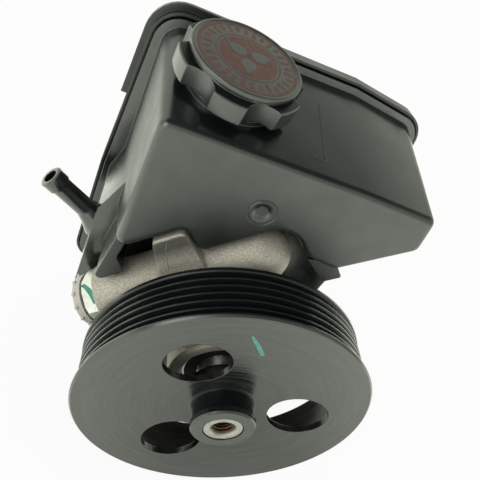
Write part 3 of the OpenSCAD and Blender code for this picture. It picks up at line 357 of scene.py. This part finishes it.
BRONZE = metal("bronze", (0.42, 0.27, 0.1), (0.6, 0.42, 0.2), 0.36)
SHAFT = ground_shaft("shaft_steel")
TEAL_PAINT = paint("teal_paint", (0.06, 0.2, 0.18), (0.11, 0.38, 0.34))
GREEN_PAINT = paint("green_paint", (0.02, 0.16, 0.11), (0.045, 0.33, 0.23))
PRINT_RED = paint("print_red", (0.07, 0.028, 0.022), (0.115, 0.045, 0.034))

SLOT_MATERIAL = {
    "black_coating": BLACK_COAT,
    "steel": STEEL,
    "zinc_steel": ZINC,
    "dark_steel": DARK_STEEL,
    "cast_aluminium": CAST,
    "bronze": BRONZE,
    "rubber": RUBBER,
    "black_plastic": BLACK_PLASTIC,
    "pale_plastic": PALE_PLASTIC,
}
for part in frame["record"]["subparts"]:
    mesh = nodes[part["node"]].data
    mesh.materials.clear()
    mesh.materials.append(SLOT_MATERIAL[part["material_slot"]])
nodes["filler_cap"].data.materials[0] = CAP_PLASTIC
nodes["reservoir_rear"].data.materials[0] = BACK_PLASTIC
nodes["drive_shaft"].data.materials[0] = SHAFT


def second_material(mesh, material, chosen):
    """Puts a further material on the faces that a test picks by middle, in millimetres, and normal."""
    mesh.materials.append(material)
    index = len(mesh.materials) - 1
    for face in mesh.polygons:
        if chosen(face.center / MM, face.normal):
            face.material_index = index


# Duller coat on the hub's neck, in the puller groove, and in the belt grooves
NECK_R = (11.0, 16.2)
NECK_Y = (-35.4, -26.5)
NECK_STEEP = -0.97
RIM_R = 56.0
RIM_Y = -29.3


def in_neck(middle, normal):
    radius = math.hypot(middle.x, middle.z)
    return NECK_R[0] < radius < NECK_R[1] and NECK_Y[0] < middle.y < NECK_Y[1] and normal.y > NECK_STEEP


def in_grooves(middle, _):
    return math.hypot(middle.x, middle.z) > RIM_R and middle.y > RIM_Y


second_material(nodes["pulley"].data, HUB_COAT, in_neck)
second_material(nodes["pulley"].data, RIM_COAT, in_grooves)

# Painted shade: a darker copy of the cap plastic on the ledge round the cap's crown
CAP_AXIS = Vector((0.0, -math.sin(CAP_TILT), math.cos(CAP_TILT)))
CROWN_DEEP = 0.7
LEDGE_FLAT = 0.9


def on_ledge(middle, normal):
    return normal.dot(CAP_AXIS) > LEDGE_FLAT and (middle - CAP_AT).dot(CAP_AXIS) < -CROWN_DEEP


second_material(nodes["filler_cap"].data, LEDGE_SHADE_PLASTIC, on_ledge)


# Even shading over the flat strips that make up a moulded curve
def spot(mesh, index):
    return tuple(round(c, 6) for c in mesh.vertices[index].co)


def smooth_shading(mesh, limit_deg=38.0):
    limit = math.cos(math.radians(limit_deg))
    meeting = {}
    for face in mesh.polygons:
        for index in face.vertices:
            meeting.setdefault(spot(mesh, index), []).append(face)
    normals = []
    for face in mesh.polygons:
        for index in face.vertices:
            total = Vector()
            for other in meeting[spot(mesh, index)]:
                if other.normal.dot(face.normal) > limit:
                    total += other.normal * other.area
            normals.append(total.normalized() if total.length > 0.0 else face.normal)
    mesh.polygons.foreach_set("use_smooth", [True] * len(mesh.polygons))
    mesh.normals_split_custom_set(normals)


for name in ("reservoir_front", "reservoir_rear", "pressure_plate_spring"):
    smooth_shading(nodes[name].data)


# Casting with the pad of its valve boss blended in, as a mould leaves it
PAD_SPAN = ((-14.0, 20.0), (44.0, 74.0), (-6.0, 14.0))
PAD_STEP = 1.5
PAD_FADE = 4.0
PAD_KEEP_R = 11.5
PAD_ROUNDS = 24
PAD_PULL = 0.5
CRISP_RIGHT = (4.0, 9.0, 0.85)
CRISP_TOP = (66.0, 71.0, 0.8)
CAST_SMOOTH_DEG = 32.0
WELD = 1e-6


def ease(value, start, end):
    share = min(1.0, max(0.0, (value - start) / (end - start)))
    return share * share * (3.0 - 2.0 * share)


def pad_place(co):
    point = co / MM
    return point.dot(VALVE_U), point.dot(VALVE_N), point.y


def meets_pad(face):
    corners = [pad_place(v.co) for v in face.verts]
    return all(min(c[i] for c in corners) < PAD_SPAN[i][1] and max(c[i] for c in corners) > PAD_SPAN[i][0]
               for i in range(3))


def pad_weight(co):
    """Share of the blending at a place: none at the span's ends, on the bore and on the pad's top right."""
    place = pad_place(co)
    if math.hypot(place[1] - VALVE_AXIS[0], place[2] - VALVE_AXIS[1]) < PAD_KEEP_R:
        return 0.0
    share = 1.0
    for value, (low_end, high_end) in zip(place, PAD_SPAN):
        share *= ease(value, low_end, low_end + PAD_FADE) * ease(-value, -high_end, PAD_FADE - high_end)
    for value, (start, end, most) in zip(place, (CRISP_RIGHT, CRISP_TOP)):
        share *= 1.0 - most * ease(value, start, end)
    return share


def soft_casting():
    work = bmesh.new()
    work.from_mesh(nodes["pump_housing"].data)
    bmesh.ops.remove_doubles(work, verts=work.verts, dist=WELD)
    for axis, (low_end, high_end) in zip((VALVE_U, VALVE_N, Vector((0.0, 1.0, 0.0))), PAD_SPAN):
        for k in range(int((high_end - low_end) / PAD_STEP) + 1):
            cut_faces = [f for f in work.faces if meets_pad(f)]
            cut_edges = dict.fromkeys(e for f in cut_faces for e in f.edges)
            cut_verts = dict.fromkeys(v for f in cut_faces for v in f.verts)
            bmesh.ops.bisect_plane(work, geom=[*cut_faces, *cut_edges, *cut_verts], dist=WELD / 10,
                                   plane_co=axis * (low_end + k * PAD_STEP) * MM, plane_no=axis)
    bmesh.ops.triangulate(work, faces=[f for f in work.faces if len(f.verts) > 3])
    moved = [(v, w) for v in work.verts if (w := pad_weight(v.co)) > 0.0]
    for _ in range(PAD_ROUNDS):
        goals = []
        for vert, weight in moved:
            others = [e.other_vert(vert).co for e in vert.link_edges]
            goals.append(vert.co.lerp(sum(others, Vector()) / len(others), PAD_PULL * weight))
        for (vert, _), goal in zip(moved, goals):
            vert.co = goal
    mesh = bpy.data.meshes.new("pump_housing_cast")
    work.to_mesh(mesh)
    work.free()
    mesh.materials.append(CAST)
    smooth_shading(mesh, CAST_SMOOTH_DEG)
    item = bpy.data.objects.new("pump_housing_cast", mesh)
    bpy.context.scene.collection.objects.link(item)
    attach(item, "pump_unit")
    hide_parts("pump_housing")
    return item


casting = soft_casting()


# Mesh helpers
def new_piece(name, verts, faces, material, body):
    mesh = bpy.data.meshes.new(name)
    mesh.from_pydata([tuple(Vector(v) * MM) for v in verts], [], faces)
    work = bmesh.new()
    work.from_mesh(mesh)
    bmesh.ops.recalc_face_normals(work, faces=work.faces)
    work.to_mesh(mesh)
    work.free()
    mesh.materials.append(material)
    item = bpy.data.objects.new(name, mesh)
    bpy.context.scene.collection.objects.link(item)
    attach(item, body)
    return item


def surface(item):
    places = [v.co / MM for v in item.data.vertices]
    return BVHTree.FromPolygons(places, [tuple(p.vertices) for p in item.data.polygons])


def along(points, step):
    """Points at even steps on a smooth line through the given points."""
    pts = [Vector(p) for p in points]
    ends = [pts[0] * 2 - pts[1], *pts, pts[-1] * 2 - pts[-2]]
    line = []
    for a, b, c, d in zip(ends, ends[1:], ends[2:], ends[3:]):
        count = max(2, math.ceil((c - b).length / step))
        for i in range(count):
            t = i / count
            line.append(0.5 * (2 * b + (c - a) * t + (2 * a - 5 * b + 4 * c - d) * t * t
                               + (3 * b - a - 3 * c + d) * t ** 3))
    return [*line, pts[-1]]


STRIP_TOP = 0.7


def strip(name, item, points, widths, lift, sink, material, body, step=0.5):
    """Thin raised band that follows a piece's surface; widths are half widths, spread evenly along it."""
    tree = surface(item)
    spots = []
    for point in along(points, step):
        place, normal, _, _ = tree.find_nearest(point)
        spots.append((place, normal))
    verts, faces = [], []
    for i, (place, normal) in enumerate(spots):
        before, after = spots[max(0, i - 1)][0], spots[min(len(spots) - 1, i + 1)][0]
        side = normal.cross(after - before).normalized()
        share = i / (len(spots) - 1) * (len(widths) - 1)
        k = min(int(share), len(widths) - 2)
        half = widths[k] + (widths[k + 1] - widths[k]) * (share - k)
        verts += [
            place - side * half - normal * sink,
            place - side * half * STRIP_TOP + normal * lift,
            place + side * half * STRIP_TOP + normal * lift,
            place + side * half - normal * sink,
        ]
        if i:
            a, b = 4 * (i - 1), 4 * i
            faces += [(a + j, a + (j + 1) % 4, b + (j + 1) % 4, b + j) for j in range(4)]
    last = len(verts) - 4
    faces += [(0, 1, 2, 3), (last, last + 1, last + 2, last + 3)]
    return new_piece(name, verts, faces, material, body)


# Paint marks from assembly, a pale teal dash on the pulley and a green one on the union
PAINT_LIFT, PAINT_SINK = 0.05, 0.03
strip("pulley_paint_dash", nodes["pulley"],
      [(-9.85, -30.0, 50.13), (-5.43, -29.7, 45.52), (-0.84, -29.3, 40.2)],
      (0.5, 0.8, 0.95, 1.0, 0.9), PAINT_LIFT, PAINT_SINK, TEAL_PAINT, "rotating_group")
strip("union_paint_dash", nodes["outlet_fitting"],
      [(-68.69, 6.12, 14.17), (-66.58, 4.84, 14.19), (-63.95, 2.73, 13.43), (-61.64, 0.19, 11.74)],
      (0.8, 1.3, 1.4, 1.0), PAINT_LIFT, PAINT_SINK, GREEN_PAINT, "pump_unit")

# Fine witness line of the mould on the sloping top
WITNESS_LIFT, SEAM_LIFT, LINE_SINK = 0.14, 0.03, 0.05
strip("top_witness_line", nodes["reservoir_front"],
      [(-4.4, 41.5, 110.3), (-3.9, 24.9, 106.9), (-3.5, 13.0, 104.5), (-3.6, 10.2, 103.95),
       (-8.4, 9.7, 103.8)],
      (0.28, 0.28), WITNESS_LIFT, LINE_SINK, BLACK_PLASTIC, "pump_unit")

# Fine parting line across the casting's pad and boss
strip("casting_parting_line", casting,
      [(-45.16, 0.67, 53.99), (-44.31, 0.21, 50.97), (-42.91, -0.28, 48.13), (-41.34, -0.86, 44.8),
       (-40.22, -1.29, 42.21)],
      (0.12, 0.2, 0.16, 0.2, 0.12), SEAM_LIFT, LINE_SINK, SEAM_DARK, "pump_unit")


# Printed pattern in the cap's recess: thin rings, short bars and a disc with three dark drops
def on_cap(x, y, z):
    c, s = math.cos(CAP_TILT), math.sin(CAP_TILT)
    return CAP_AT + Vector((x, y * c - z * s, y * s + z * c))


PRINT_LOW, PRINT_TOP = -0.31, -0.26


def flat_shape(verts, faces, outline, lift=0.0):
    """Adds a thin printed shape with the given outline in the cap's plane."""
    start, count = len(verts), len(outline)
    for z in (PRINT_TOP + lift, PRINT_LOW):
        verts += [on_cap(x, y, z) for x, y in outline]
    faces.append(tuple(range(start, start + count)))
    faces += [(start + i, start + (i + 1) % count, start + count + (i + 1) % count, start + count + i)
              for i in range(count)]


def ring_shape(verts, faces, r_in, r_out, steps=96):
    start = len(verts)
    for i in range(steps):
        a = 2 * math.pi * i / steps
        for r, z in ((r_in, PRINT_LOW), (r_in, PRINT_TOP), (r_out, PRINT_TOP), (r_out, PRINT_LOW)):
            verts.append(on_cap(r * math.cos(a), r * math.sin(a), z))
    for i in range(steps):
        a, b = start + 4 * i, start + 4 * ((i + 1) % steps)
        faces += [(a + j, a + j + 1, b + j + 1, b + j) for j in range(3)]


def turned_outline(outline, angle):
    c, s = math.cos(angle), math.sin(angle)
    return [(x * c - y * s, x * s + y * c) for x, y in outline]


def drop_outline(tail, r, steps=28):
    """Drop with a round end of radius r about the origin and its point at the given distance."""
    open_deg = math.degrees(math.acos(r / tail))
    round_end = [math.radians(open_deg + i * (360 - 2 * open_deg) / steps) for i in range(steps + 1)]
    return [(r * math.cos(a), r * math.sin(a)) for a in round_end] + [(tail, 0.0)]


RING_SPANS = ((17.5, 18.7), (11.7, 12.3))
BAR_COUNT = 30
BAR_SPAN = (13.5, 16.7)
BAR_SHORTER = (0.0, 0.9, 0.0, 0.4, 1.2)
BAR_HALF = 0.75
BAR_POINT = 0.3
DISC_R = 10.9
DISC_STEPS = 72
DROP_COUNT = 3
DROP_TAIL = 5.6
DROP_R = 2.9
DROP_OUT = 4.4
DROP_TURN = 0.25
DROP_LIFT = 0.04
verts, faces = [], []
for r_in, r_out in RING_SPANS:
    ring_shape(verts, faces, r_in, r_out)
for i in range(BAR_COUNT):
    inner, outer = BAR_SPAN[0] + BAR_SHORTER[i % len(BAR_SHORTER)], BAR_SPAN[1]
    bar = [(inner, -BAR_HALF), (outer, -BAR_HALF), (outer + BAR_POINT, 0.0),
           (outer, BAR_HALF), (inner, BAR_HALF), (inner - BAR_POINT, 0.0)]
    flat_shape(verts, faces, turned_outline(bar, 2 * math.pi * i / BAR_COUNT))
disc = [turned_outline([(DISC_R, 0.0)], 2 * math.pi * i / DISC_STEPS)[0] for i in range(DISC_STEPS)]
flat_shape(verts, faces, disc)
new_piece("cap_print", verts, faces, PRINT_RED, "cap")
verts, faces = [], []
drop = [(x + DROP_OUT, y) for x, y in drop_outline(DROP_TAIL, DROP_R)]
for i in range(DROP_COUNT):
    flat_shape(verts, faces, turned_outline(drop, 2 * math.pi * (i + DROP_TURN) / DROP_COUNT), DROP_LIFT)
new_piece("cap_print_drops", verts, faces, CAP_PLASTIC, "cap")

# Thread in the shaft's tapped bore
THREAD_PITCH = 1.25
THREAD_R = 4.3
THREAD_IN = 3.75
THREAD_FROM, THREAD_TO = -36.4, -24.0
THREAD_STEPS = 40
THREAD_SECTION = ((THREAD_R, -0.45), (THREAD_IN, -0.08), (THREAD_IN, 0.08), (THREAD_R, 0.45))
verts, faces = [], []
turns = (THREAD_TO - THREAD_FROM) / THREAD_PITCH
for i in range(int(turns * THREAD_STEPS) + 1):
    a = 2 * math.pi * i / THREAD_STEPS
    y = THREAD_FROM + THREAD_PITCH * i / THREAD_STEPS
    for r, off in THREAD_SECTION:
        verts.append((r * math.cos(a), y + off, r * math.sin(a)))
    if i:
        b, c = 4 * (i - 1), 4 * i
        faces += [(b + j, b + (j + 1) % 4, c + (j + 1) % 4, c + j) for j in range(4)]
last = len(verts) - 4
faces += [(0, 1, 2, 3), (last, last + 1, last + 2, last + 3)]
new_piece("shaft_bore_thread", verts, faces, SHAFT, "rotating_group")

# Valve spring with round shading
COIL_SMOOTH_DEG = 50.0
coil = nodes["flow_valve_spring"].copy()
coil.data = coil.data.copy()
coil.name = "flow_valve_coil"
for key in list(coil.keys()):
    del coil[key]
coil.parent = None
bpy.context.scene.collection.objects.link(coil)
work = bmesh.new()
work.from_mesh(coil.data)
bmesh.ops.remove_doubles(work, verts=work.verts, dist=WELD)
work.to_mesh(coil.data)
work.free()
smooth_shading(coil.data, COIL_SMOOTH_DEG)
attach(coil, "pump_unit")
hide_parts("flow_valve_spring")
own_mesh(coil)


# Stage: pale floor and a white world for the camera, softly tinted for gloss
STUDIO_TINT = (0.945, 1.0, 0.86)
EVEN_TINT = (0.98, 1.0, 0.89)
FLOOR_DROP = 0.002
FLOOR_SIZE = 40.0
FLOOR_PALE = [(0.3, grey(0.86)), (0.7, grey(0.9))]
FLOOR_ROUGH = 0.7
FLOOR_GLOSS = 2.12
FLOOR_SPREAD = [(0.06, grey(0.38)), (0.14, grey(0.8)), (0.45, grey(1.0))]
REFLECTED_SHADOW_AT = (0.045, 0.0, 0.0)
SEEN_SHARE = 0.92
SKY_STRENGTH = 1.42
SKY_SIDE = [(0.5, grey(0.66)), (0.85, grey(0.8))]
SKY_OVERHEAD = [(0.57, grey(1.0)), (0.66, grey(0.74)), (0.72, grey(0.4)), (0.82, grey(0.12))]
EVEN_STRENGTH = 0.8
MIDDLE = (-0.01, 0.03, 0.04)
KEY_AT = (-0.7, -0.6, 0.5)
KEY_SIZE = (0.6, 0.6)
KEY_POWER = 3.0


def light_paths(tree):
    path = add(tree, "ShaderNodeLightPath")
    seen = maths(tree, "MAXIMUM", path.outputs["Is Camera Ray"], path.outputs["Is Transmission Ray"])
    return seen, path.outputs["Is Glossy Ray"]


def emission(tree, colour, strength):
    node = add(tree, "ShaderNodeEmission")
    link(tree, colour, node.inputs["Color"])
    node.inputs["Strength"].default_value = strength
    return node.outputs[0]


def mix_shader(tree, factor, first, second):
    node = add(tree, "ShaderNodeMixShader")
    link(tree, factor, node.inputs[0])
    link(tree, first, node.inputs[1])
    link(tree, second, node.inputs[2])
    return node.outputs[0]


low = Vector(cad_box[0])
bpy.ops.mesh.primitive_plane_add(size=FLOOR_SIZE, location=(0.0, 0.0, low.z - FLOOR_DROP))
floor = bpy.context.object
floor.name = "floor"
floor_material, tree, shader = new_material("floor_pale")
shader.inputs["Roughness"].default_value = FLOOR_ROUGH
link(tree, ramp(tree, noise(tree, 3.0), FLOOR_PALE), shader.inputs["Base Color"])
seen, gloss = light_paths(tree)
# Painted shadow: the floor's glow seen in reflections is darker near the object, standing in for the shadow
# it would cast
far = add(tree, "ShaderNodeVectorMath", operation="DISTANCE")
link(tree, position(tree), far.inputs[0])
far.inputs[1].default_value = REFLECTED_SHADOW_AT
spread = ramp(tree, far.outputs["Value"], FLOOR_SPREAD)
mirror = emission(tree, blend_colour(tree, 1.0, spread, STUDIO_TINT, "MULTIPLY"), FLOOR_GLOSS)
mirrored = mix_shader(tree, gloss, shader.outputs[0], mirror)
plain = emission(tree, grey(1.0), 1.0)
shown = mix_shader(tree, maths(tree, "MULTIPLY", seen, SEEN_SHARE), mirrored, plain)
link(tree, shown, tree.nodes["Material Output"].inputs["Surface"])
floor.data.materials.append(floor_material)

world = bpy.data.worlds.new("studio")
bpy.context.scene.world = world
world.use_nodes = True
tree = world.node_tree
sky = tree.nodes["Background"]
direction = parts(tree, add(tree, "ShaderNodeTexCoord").outputs["Generated"])
leftward = maths(tree, "ADD", maths(tree, "MULTIPLY", direction["X"], -0.5), 0.5)
overhead = ramp(tree, direction["Z"], SKY_OVERHEAD)
tone = blend_colour(tree, 1.0, ramp(tree, leftward, SKY_SIDE), overhead, "MULTIPLY")
link(tree, blend_colour(tree, 1.0, tone, STUDIO_TINT, "MULTIPLY"), sky.inputs["Color"])
sky.inputs["Strength"].default_value = SKY_STRENGTH
even = add(tree, "ShaderNodeBackground")
link(tree, EVEN_TINT, even.inputs["Color"])
even.inputs["Strength"].default_value = EVEN_STRENGTH
white = add(tree, "ShaderNodeBackground")
link(tree, grey(1.0), white.inputs["Color"])
seen, gloss = light_paths(tree)
lit = mix_shader(tree, gloss, even.outputs[0], sky.outputs[0])
shown = mix_shader(tree, seen, lit, white.outputs[0])
link(tree, shown, tree.nodes["World Output"].inputs["Surface"])


def soft_light(name, at, aim, size, power):
    lamp = bpy.data.lights.new(name, "AREA")
    lamp.shape = "RECTANGLE"
    lamp.size, lamp.size_y = size
    lamp.energy = power
    lamp.specular_factor = 0.0
    item = bpy.data.objects.new(name, lamp)
    bpy.context.scene.collection.objects.link(item)
    place = Vector(at)
    item.location = place
    item.rotation_euler = (Vector(aim) - place).to_track_quat("-Z", "Y").to_euler()


soft_light("key", KEY_AT, MIDDLE, KEY_SIZE, KEY_POWER)

# Camera
right = CAMERA_FORWARD.cross(CAMERA_UP)
turn = Matrix((right, CAMERA_UP, -CAMERA_FORWARD)).transposed()
lens = bpy.data.cameras.new("camera")
lens.sensor_fit = "HORIZONTAL"
lens.angle = math.radians(CAMERA_FOV_DEG)
lens.clip_start = CAMERA_CLIP
camera = bpy.data.objects.new("camera", lens)
bpy.context.scene.collection.objects.link(camera)
camera.matrix_world = Matrix.Translation(CAMERA_AT * MM) @ turn.to_4x4()
bpy.context.scene.camera = camera
bpy.context.scene.view_settings.view_transform = "Standard"
